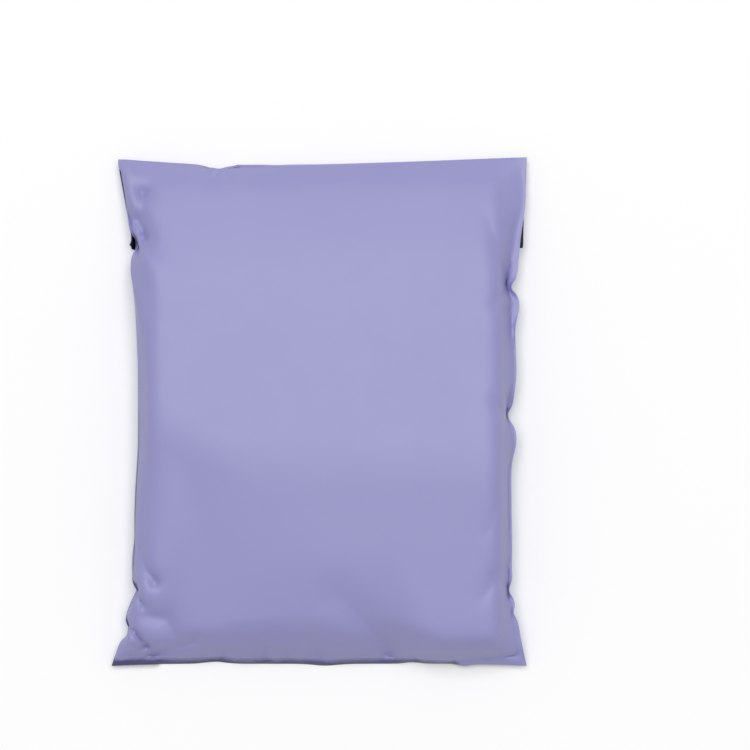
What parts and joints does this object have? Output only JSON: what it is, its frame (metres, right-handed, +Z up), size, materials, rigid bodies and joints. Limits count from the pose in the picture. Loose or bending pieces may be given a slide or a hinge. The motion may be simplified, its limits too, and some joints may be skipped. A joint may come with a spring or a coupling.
{
  "type": "poly mailer bag",
  "caption": "Sealed plastic film mailing bag round soft folded goods, with welded side seams and a glued flap folded down its back.",
  "frame": {"origin": "on the surface the bag lies on, under the middle of its outline", "axes": "+X across the bag, +Y from the bottom seam to the folded top edge, +Z up through the plain front panel, away from the flap"},
  "size_m": [0.2546, 0.312, 0.044],
  "materials": {
    "outer_film": "satin lilac polyethylene film",
    "hot_melt": "tacky translucent hot-melt adhesive"
  },
  "bodies": {
    "root": {"mailer_bag": "outer_film", "glue_strip": "hot_melt"}
  },
  "joints": []
}
